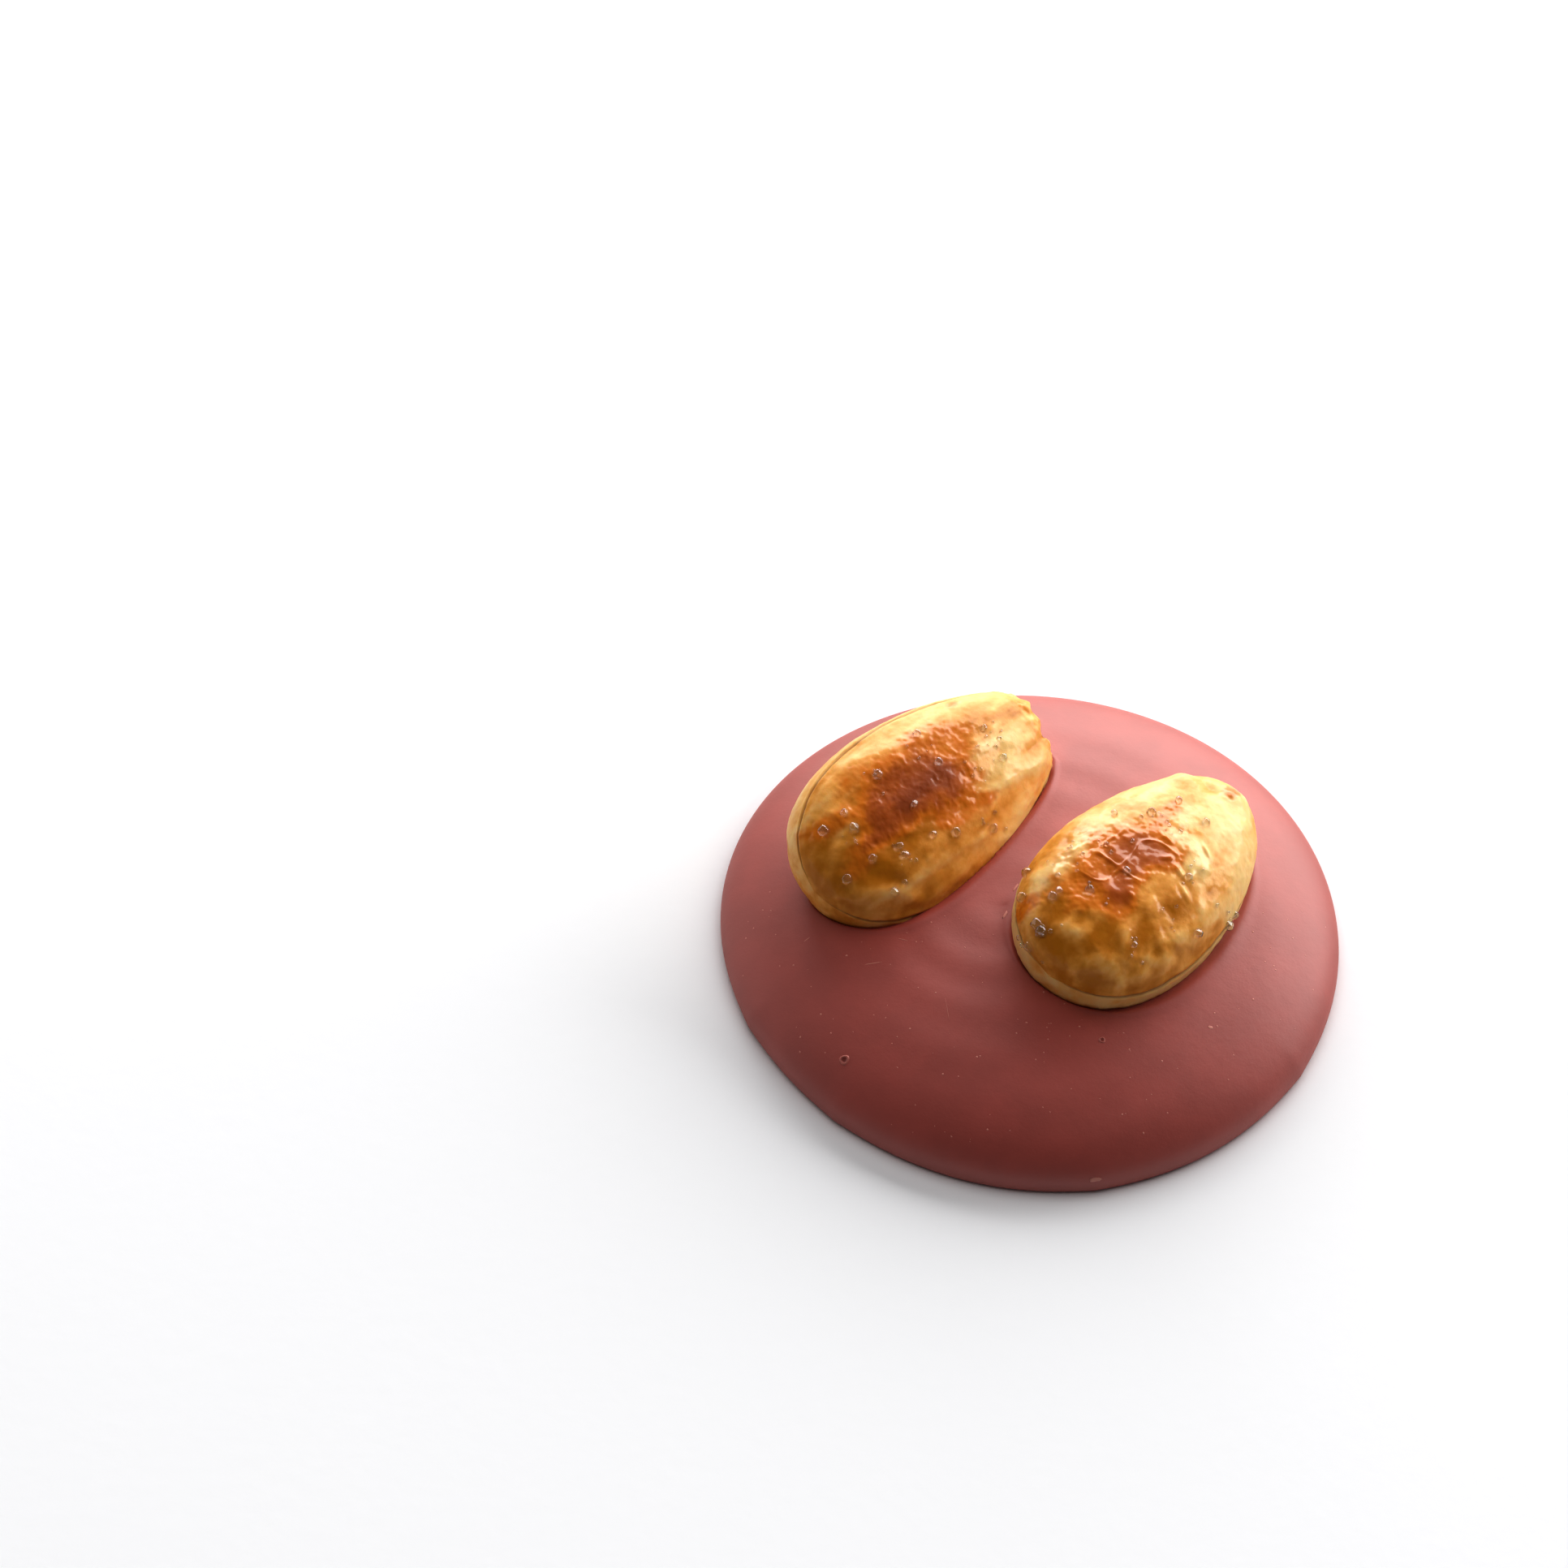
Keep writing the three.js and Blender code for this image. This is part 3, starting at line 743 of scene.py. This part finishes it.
def grain_places(name, rng):
    """Places and radii: the clear grains, a spread by two steps that never line up, then the clusters."""
    places = list(GRAINS[name])
    for i in range(len(places), SALT_PER_ALMOND):
        x = (2 * (i * ALONG_STEP % 1) - 1) * ALONG_REACH * ALMONDS[name]["length"] / 2
        y = (2 * (i * ACROSS_STEP % 1) - 1) * ACROSS_REACH * ALMONDS[name]["width"] / 2
        places.append((x, y))
    shrinking = SALT_SMALLEST - SALT_LARGEST
    radii = [SALT_LARGEST + shrinking * i / SALT_PER_ALMOND for i in range(SALT_PER_ALMOND)]
    for x, y in CLUSTERS[name]:
        offsets = rng.normal(0, CLUSTER_SPREAD, (CLUSTER_GRAINS, 2))
        places += [(x + along, y + across) for along, across in offsets]
        radii += list(rng.uniform(*SALT_FINEST, CLUSTER_GRAINS))
    return places, np.array(radii)


def salt_mesh(name):
    """The salt of one almond, partly sunk in its skin."""
    rng = np.random.default_rng(ALMONDS[name]["seed"])
    skin = SKINS[name][0]
    normals = grid_normals(skin)
    places, radii = grain_places(name, rng)
    raised = []
    for (x, y), radius in zip(places, radii):
        point, normal = spot_on(skin, normals, x, y)
        raised.append(point + normal * radius * (1 - 2 * SALT_SUNK))
    sizes = radii[:, None] * rng.uniform(*SALT_STRETCH, (len(radii), 3))
    centres = put_in_place(ALMONDS[name], np.array(raised))
    turns = random_turns(len(radii), rng)
    grain = ball(SALT_SUBDIVISIONS)
    return scattered_mesh("salt_" + name, grain, centres, sizes, turns, SALT_SQUARENESS, SALT_ROUGHNESS)


def salt_finish():
    """Clear, slightly frosted salt."""
    finish = Finish("salt")
    finish.set(Base_Color=(1.0, 0.99, 0.97, 1.0), Transmission_Weight=0.97, Roughness=0.02, IOR=1.25)
    finish.set(Coat_Weight=1.0, Coat_Roughness=0.03, Coat_IOR=1.7)
    finish.bump(finish.noise(scale=4000, detail=2, roughness=0.5), distance=0.00002)
    return finish.material


salt = salt_finish()
for almond_name in ALMONDS:
    add_piece(salt_mesh(almond_name), salt)

# The chocolate
# One poured round of ruby chocolate, domed, with a rim drawn in at the foot and a flat underside.
# Its top is a height field: a superellipse dome with the pouring's spiral ripple, which dives under each
# almond just inside the almond's own skin, so that no gap shows where the two meet.

DISC_RADIUS = 20.95
DISC_HEIGHT = 6.0
RIM_HEIGHT = 0.6
RIM_TUCK = 0.3
CROWN_POWER = 2.4
# Each is a share of the radius and the direction, in degrees, in which it is greatest.
OVAL = (0.02, -48.7)
LOBES = (0.01, 37.6)
CORNER_RISE = 0.14
CORNER_SPREAD = 4.5  # degrees
CORNER_FADE = 12  # power of the share of the radius
CORNER_FACINGS = (-34, -80, -131, 202)
SWIRL = dict(depth=0.018, pitch=3.4, middle=(-1.9, -1.6))
SWIRL_UNEVEN = dict(share=0.8, pitch=6.0, seed=90)
SAGGING = dict(depth=0.04, pitch=9.0, layers=2, seed=95)
RIPPLE_FADE = 4  # power of the share of the radius
DISC_COLUMNS = 480
CROWN_ROWS = 184
TUCK_ROWS = 10
UNDERSIDE_ROWS = 6


def disc_radius(angle, share):
    """Radius in a direction: an oval and three shallow lobes, with blunt corners that fade out inwards."""
    oval = OVAL[0] * np.cos(2 * (angle - math.radians(OVAL[1])))
    lobes = LOBES[0] * np.cos(3 * (angle - math.radians(LOBES[1])))
    radius = DISC_RADIUS * (1 + oval + lobes)
    for facing in CORNER_FACINGS:
        turn = angle - math.radians(facing)
        away = np.abs(np.arctan2(np.sin(turn), np.cos(turn)))
        radius = radius + CORNER_RISE * np.exp(-away / math.radians(CORNER_SPREAD)) * share**CORNER_FADE
    return radius


def at_height(x, y, height):
    """Points over places in plan, all at one height or each at its own."""
    return np.stack([x, y, height + np.zeros_like(x)], axis=-1)


def swirl_height(x, y, share):
    """The spiral ripple: a sine of the distance from its middle plus the angle round it, less outwards."""
    from_x = x - SWIRL["middle"][0]
    from_y = y - SWIRL["middle"][1]
    phase = 2 * np.pi * np.hypot(from_x, from_y) / SWIRL["pitch"] + np.arctan2(from_y, from_x)
    place = at_height(x, y, 0)
    uneven = lattice_noise(place, SWIRL_UNEVEN["pitch"], SWIRL_UNEVEN["seed"])
    strength = 1 + SWIRL_UNEVEN["share"] * uneven
    sagging = layered_noise(place, SAGGING["pitch"], SAGGING["layers"], SAGGING["seed"])
    height = SWIRL["depth"] * strength * np.sin(phase) + SAGGING["depth"] * sagging
    return height * (1 - share**RIPPLE_FADE)


NEAR_POLE = 0.999  # cosine of the angle along the kernel


def inside_level(almond, points):
    """Level of the smooth kernel's formula: 1 on its surface, less inside, more outside."""
    local = (points - np.array(almond["place"])) @ orientation(almond)
    along = np.arccos(np.clip(2 * local[..., 0] / almond["length"], -NEAR_POLE, NEAR_POLE))
    width = plan_width(almond, along) / fullest_width(almond)
    y = np.abs(local[..., 1]) / (almond["width"] / 2 * width)
    z = np.abs(local[..., 2]) / (almond["thickness"] / 2 * width**DEPTH_POWER)
    power = 2 / SECTION_POWER
    beyond = np.clip(np.abs(local[..., 0]) - almond["length"] / 2, 0, None)
    if almond["broken"] is not None:
        beyond = np.maximum(beyond, local[..., 0] - almond["broken"]["at"])
    return (y**power + z**power) ** (1 / power) + np.clip(beyond, 0, None)


SPAN_LOWEST = 1.0
SPAN_HIGHEST = 12.5
SPAN_LEVELS = 93


def almond_span(almond, x, y):
    """Lowest and highest point of the kernel on each vertical line, from its level at many heights."""
    heights = np.linspace(SPAN_LOWEST, SPAN_HIGHEST, SPAN_LEVELS)
    lowest = np.full(x.shape, np.inf)
    highest = np.full(x.shape, -np.inf)
    last = inside_level(almond, at_height(x, y, heights[0]))
    for below, above in zip(heights[:-1], heights[1:]):
        level = inside_level(almond, at_height(x, y, above))
        crossing = below + (above - below) * (1 - last) / np.where(level == last, 1, level - last)
        lowest = np.where((last > 1) & (level <= 1), np.minimum(lowest, crossing), lowest)
        highest = np.where((last <= 1) & (level > 1), crossing, highest)
        last = level
    return lowest, highest


# Round each almond the chocolate swells in a low lip and then drops in a narrow crease.
LIP = dict(height=0.07, offset=0.9, spread=0.5)
CREASE = dict(depth=0.18, spread=0.4)
SKIN_OVERLAP = 0.2  # how far the chocolate reaches into an almond's skin
DIVE_RANGE = (0.1, 0.6)  # how far the almond rises over the chocolate where this dives under it


def chocolate_top(x, y, share):
    """Dome and ripple with a lip and a crease round each almond, then the almond's own underside."""
    rise = np.sqrt(np.clip(1 - share**CROWN_POWER, 0, None))
    dome = RIM_HEIGHT + (DISC_HEIGHT - RIM_HEIGHT) * rise + swirl_height(x, y, share)
    top = dome.copy()
    for almond in ALMONDS.values():
        level = inside_level(almond, at_height(x, y, dome))
        away = np.clip(level - 1, 0, None) * almond["width"] / 2
        top += LIP["height"] * np.exp(-(((away - LIP["offset"]) / LIP["spread"]) ** 2)) * rise
        top -= CREASE["depth"] * np.exp(-((away / CREASE["spread"]) ** 2)) * rise
    for almond in ALMONDS.values():
        lowest, highest = almond_span(almond, x, y)
        covered = np.isfinite(lowest)
        under = np.where(covered, np.minimum(top, np.where(covered, lowest, 0) + SKIN_OVERLAP), top)
        inside = np.where(covered, smooth_step(highest - top, *DIVE_RANGE), 0)
        top = top + (under - top) * inside
    return top


def chocolate_rings():
    """Rings from the crown's middle over the dome, round the drawn-in foot and back under the disc."""
    angle = np.linspace(0, 2 * np.pi, DISC_COLUMNS, endpoint=False)[None, :]
    slope = (np.arange(1, CROWN_ROWS + 1) / CROWN_ROWS * np.pi / 2)[:, None]
    share = np.sin(slope) ** (2 / CROWN_POWER) * np.ones_like(angle)
    x = share * disc_radius(angle, share) * np.cos(angle)
    y = share * disc_radius(angle, share) * np.sin(angle)
    rim = disc_radius(angle, 1.0)
    crown = np.stack([x, y, chocolate_top(x, y, share)], axis=-1)
    slope = (np.arange(1, TUCK_ROWS + 1) / TUCK_ROWS * np.pi / 2)[:, None]
    reach = rim - RIM_TUCK * (1 - np.cos(slope))
    level = RIM_HEIGHT * (1 - np.sin(slope)) * np.ones_like(angle)
    tuck = np.stack([reach * np.cos(angle), reach * np.sin(angle), level], axis=-1)
    inwards = (np.arange(UNDERSIDE_ROWS, 0, -1) / (UNDERSIDE_ROWS + 1))[:, None]
    reach = inwards * (rim - RIM_TUCK)
    under = np.stack([reach * np.cos(angle), reach * np.sin(angle), np.zeros_like(reach)], axis=-1)
    return np.concatenate([crown, tuck, under])


CHOCOLATE_DEEP = (0.39, 0.078, 0.058, 1.0)
CHOCOLATE_MILKY = (0.44, 0.089, 0.067, 1.0)


def chocolate_finish():
    """Satin pink chocolate: faint mottling and a soft broad sheen."""
    finish = Finish("ruby chocolate")
    mottle = finish.step(finish.noise(scale=240, detail=4, roughness=0.55), low=0.3, high=0.7)
    finish.set(Base_Color=finish.blend(mottle, CHOCOLATE_DEEP, CHOCOLATE_MILKY))
    finish.set(Subsurface_Weight=0.12, Subsurface_Radius=(1.0, 0.35, 0.3), Subsurface_Scale=0.0006)
    finish.set(Roughness=0.55, Specular_IOR_Level=1.0, IOR=1.6)
    finish.bump(finish.noise(scale=6000, detail=2, roughness=0.5), distance=0.000004)
    finish.bump(finish.noise(scale=1500, detail=3, roughness=0.5), distance=0.000012)
    return finish.material


CHOCOLATE_RINGS = chocolate_rings()
crown_middle = CHOCOLATE_RINGS[0].mean(axis=0)
chocolate_mesh = closed_mesh("ruby_chocolate", CHOCOLATE_RINGS, crown_middle, np.zeros(3))
add_piece(chocolate_mesh, chocolate_finish(), "chocolate_disc")

# The flecks
# Specks of undissolved milk and cocoa in the chocolate's skin, a few pale scuffs, and a chip at the foot.
# Each is a very flat lump that stands about a hundredth of a millimetre proud.

# A scuff is its middle, half-length, half-width and heading in degrees.
SCUFFS = (
    (11.5, -10.8, 0.16, 0.13, 0),
    (-10.8, -6.0, 0.7, 0.03, 5),
    (-8.8, -4.3, 0.35, 0.03, -20),
    (-6.0, -10.0, 0.8, 0.016, 97),
    (-1.95, -2.6, 0.35, 0.1, 65),
    (-1.2, -0.3, 0.4, 0.08, 60),
    (3.7, -21.0, 0.45, 0.16, 10),
    (-15.2, -3.4, 0.3, 0.03, 30),
)
SPECKS = 130
SPECK_SMALLEST = 0.03
SPECK_LARGEST = 0.075
SPECK_NARROWEST = 0.6  # share of the length
SPECK_FACINGS = (-185, 5)  # degrees
SPECK_REACH = 0.96  # share of the disc's radius
SPECK_AREA = (0.06, 1)  # share of the area within that reach, from the middle out
SPECK_HEIGHT = 5.5  # where the distance to an almond is taken
SPECK_CLEARANCE = 1.15  # level of the almond's formula
FLECK_RISE = 0.012
FLECK_ROUGHNESS = 0.3
FLECK_SUBDIVISIONS = 2
FLECK_SEED = 7
ROUND = 2.0  # the power of a lump that isn't squared


def speck_places(rng):
    """Places spread evenly by area over the near side of the crown, clear of the almonds."""
    tries = 4 * SPECKS
    angles = np.radians(rng.uniform(*SPECK_FACINGS, tries))
    reach = DISC_RADIUS * SPECK_REACH * np.sqrt(rng.uniform(*SPECK_AREA, tries))
    x = reach * np.cos(angles)
    y = reach * np.sin(angles)
    clear = np.ones(tries, bool)
    for almond in ALMONDS.values():
        clear &= inside_level(almond, at_height(x, y, SPECK_HEIGHT)) > SPECK_CLEARANCE
    return x[clear][:SPECKS], y[clear][:SPECKS]


def turned_on(normals, headings):
    """Rotations that stand lumps on their normals, with their lengths at their headings in degrees."""
    angles = np.radians(headings)
    ahead = np.stack([np.cos(angles), np.sin(angles), np.zeros_like(angles)], axis=-1)
    across = np.cross(normals, ahead)
    across = across / np.linalg.norm(across, axis=-1, keepdims=True)
    return np.stack([np.cross(across, normals), across, normals], axis=-1)


def fleck_mesh():
    """The scuffs and the specks in one mesh, each laid on the crown's slope."""
    rng = np.random.default_rng(FLECK_SEED)
    normals = grid_normals(CHOCOLATE_RINGS)
    x, y = speck_places(rng)
    lengths = rng.uniform(SPECK_SMALLEST, SPECK_LARGEST, len(x))
    widths = lengths * rng.uniform(SPECK_NARROWEST, 1, len(x))
    headings = rng.uniform(0, 180, len(x))
    flecks = np.concatenate([SCUFFS, np.stack([x, y, lengths, widths, headings], axis=-1)])
    spots = [spot_on(CHOCOLATE_RINGS, normals, fleck[0], fleck[1]) for fleck in flecks]
    turns = turned_on(np.array([spot[1] for spot in spots]), flecks[:, 4])
    sizes = np.stack([flecks[:, 2], flecks[:, 3], np.full(len(flecks), FLECK_RISE)], axis=-1)
    centres = np.array([spot[0] for spot in spots])
    fleck = ball(FLECK_SUBDIVISIONS)
    return scattered_mesh("pale_flecks", fleck, centres, sizes, turns, ROUND, FLECK_ROUGHNESS)


def fleck_finish():
    """Pale pink, a little duller than the chocolate."""
    finish = Finish("pale flecks")
    finish.set(Base_Color=(0.62, 0.27, 0.22, 1.0), Roughness=0.6, Specular_IOR_Level=0.6)
    return finish.material


add_piece(fleck_mesh(), fleck_finish())

# The burst bubbles
# Two air bubbles that broke as the chocolate set. Each left a shallow cup with a raised rim, with a painted
# highlight along the rim and painted shade down in the cup.
# A cup is a profile of radius and height, turned about the crown's own normal.

BUBBLES = ((-12.75, -12.67, 1.0), (4.2, -12.5, 0.65))  # place in plan and size
CUP_PROFILE = ((0.1, 0.0), (0.17, 0.02), (0.23, 0.075), (0.29, 0.06), (0.34, 0.01), (0.38, -0.06))
# How much painted shade each point of the profile takes, most down in the cup.
CUP_PAINTED_SHADE_LEVELS = (1.0, 0.8, 0.1, 0.0, 0.0, 0.0)  # at each point of the profile
CUP_COLUMNS = 32
CUP_LOBES = 3
CUP_WOBBLE = 0.08  # share of the radius
# The colour of the painted highlight along the rim and of the painted shade down in the cup.
CUP_PAINTED_HIGHLIGHT = (0.52, 0.18, 0.145, 1.0)
CUP_PAINTED_SHADE = (0.27, 0.055, 0.042, 1.0)


def bubble_mesh(name, x, y, size):
    """One cup: circles of the profile round the normal, closed in the middle and underneath."""
    point, normal = spot_on(CHOCOLATE_RINGS, grid_normals(CHOCOLATE_RINGS), x, y)
    turn = turned_on(normal[None], [0.0])[0]
    angle = np.linspace(0, 2 * np.pi, CUP_COLUMNS, endpoint=False)
    radii, heights = np.array(CUP_PROFILE).T[..., None]
    reach = radii * (1 + CUP_WOBBLE * np.sin(CUP_LOBES * angle + x))
    level = heights * np.ones_like(angle)
    circles = np.stack([reach * np.cos(angle), reach * np.sin(angle), level], axis=-1)
    rings = size * circles @ turn.T + point
    mesh = closed_mesh(name, rings, rings[0].mean(axis=0), rings[-1].mean(axis=0))
    # The painted shade of the cup, as a number at each point.
    add_attribute(mesh, "painted_shade", np.repeat(np.array(CUP_PAINTED_SHADE_LEVELS)[:, None], CUP_COLUMNS, axis=1))
    return mesh


def bubble_finish():
    """Chocolate with a painted highlight along the rim and painted shade down in the cup."""
    finish = Finish("burst bubble")
    colour = finish.blend(finish.attribute("painted_shade"), CUP_PAINTED_HIGHLIGHT, CUP_PAINTED_SHADE)
    finish.set(Base_Color=colour, Roughness=0.4, Specular_IOR_Level=0.6)
    return finish.material


bubble = bubble_finish()
for number, (x, y, size) in enumerate(BUBBLES, 1):
    add_piece(bubble_mesh(f"burst_bubble_{number}", x, y, size), bubble)

# The floor, the camera and the lights
# A pale matt floor, a camera at the photograph's viewing angle, and a broad soft light from behind with
# two fills. Sizes are in metres from here on.

FLOOR_HALF = 1.2
FLOOR_DROP = 0.00003  # the gap under the chocolate


def floor_mesh():
    """One large square just under the chocolate."""
    mesh = bpy.data.meshes.new("floor")
    turns = ((-1, -1), (1, -1), (1, 1), (-1, 1))
    mesh.from_pydata([(x * FLOOR_HALF, y * FLOOR_HALF, -FLOOR_DROP) for x, y in turns], [], [(0, 1, 2, 3)])
    return mesh


def card_finish():
    """Matt white card with a faint tooth."""
    finish = Finish("white card")
    finish.set(Base_Color=(0.93, 0.93, 0.94, 1.0), Roughness=0.9, Specular_IOR_Level=0.2)
    finish.bump(finish.noise(scale=900, detail=3, roughness=0.5), distance=0.00001)
    return finish.material


floor = bpy.data.objects.new("floor", floor_mesh())
floor.data.materials.append(card_finish())
bpy.context.scene.collection.objects.link(floor)

CAMERA_DISTANCE = 0.4
CAMERA_ELEVATION = math.radians(50)
PHOTO_SIZE = 1932  # pixels
PIXELS_PER_METRE = 18140  # at the camera's distance
BASE_PIXEL = (1269.6, 1158.5)  # where the middle of the underside falls


def aim_camera():
    """Sets the camera at the photo's elevation, with the middle of the underside on its pixel."""
    data = bpy.data.cameras.new("camera")
    focal_pixels = PIXELS_PER_METRE * CAMERA_DISTANCE
    data.lens = data.sensor_width * focal_pixels / PHOTO_SIZE
    right = np.array([1.0, 0.0, 0.0])
    forward = np.array([0.0, math.cos(CAMERA_ELEVATION), -math.sin(CAMERA_ELEVATION)])
    upward = np.cross(right, forward)
    across = (BASE_PIXEL[0] - PHOTO_SIZE / 2) * right
    down = (BASE_PIXEL[1] - PHOTO_SIZE / 2) * upward
    ray = across - down + focal_pixels * forward
    camera = bpy.data.objects.new("camera", data)
    camera.location = -CAMERA_DISTANCE * ray / np.linalg.norm(ray)
    camera.rotation_euler = (math.pi / 2 - CAMERA_ELEVATION, 0, 0)
    bpy.context.scene.collection.objects.link(camera)
    bpy.context.scene.camera = camera


LIGHT_DISTANCE = 1.0
WORLD_STRENGTH = 0.1
CONTRAST = 0.75  # the view's gamma, for the contrast of a camera's picture
# Each soft light is its direction in degrees, its width and height and its power in watts.
# An unmirrored one gives no highlights.
LIGHTS = {
    "window": dict(azimuth=62, elevation=24, width=2.1, height=0.7, power=25.0),
    "ceiling": dict(azimuth=80, elevation=82, width=1.2, height=1.0, power=5.0, mirrored=False),
    "side": dict(azimuth=150, elevation=22, width=0.9, height=0.6, power=1.8),
}


def add_light(name, azimuth, elevation, width, height, power, mirrored=True):
    """One soft rectangular light at the lights' distance, facing the part."""
    data = bpy.data.lights.new(name, "AREA")
    data.shape = "RECTANGLE"
    data.size = width
    data.size_y = height
    data.energy = power
    light = bpy.data.objects.new(name, data)
    turn = math.radians(azimuth)
    climb = math.radians(elevation)
    level = LIGHT_DISTANCE * math.cos(climb)
    light.location = (level * math.cos(turn), level * math.sin(turn), LIGHT_DISTANCE * math.sin(climb))
    light.rotation_euler = (-light.location.normalized()).to_track_quat("-Z", "Y").to_euler()
    light.visible_glossy = mirrored
    bpy.context.scene.collection.objects.link(light)


aim_camera()
for light_name, light_sizes in LIGHTS.items():
    add_light(light_name, **light_sizes)

world = bpy.data.worlds.new("studio")
world.use_nodes = True
world.node_tree.nodes["Background"].inputs["Color"].default_value = (1.0, 1.0, 1.0, 1.0)
world.node_tree.nodes["Background"].inputs["Strength"].default_value = WORLD_STRENGTH
bpy.context.scene.world = world
bpy.context.scene.view_settings.view_transform = "Standard"
bpy.context.scene.view_settings.gamma = CONTRAST
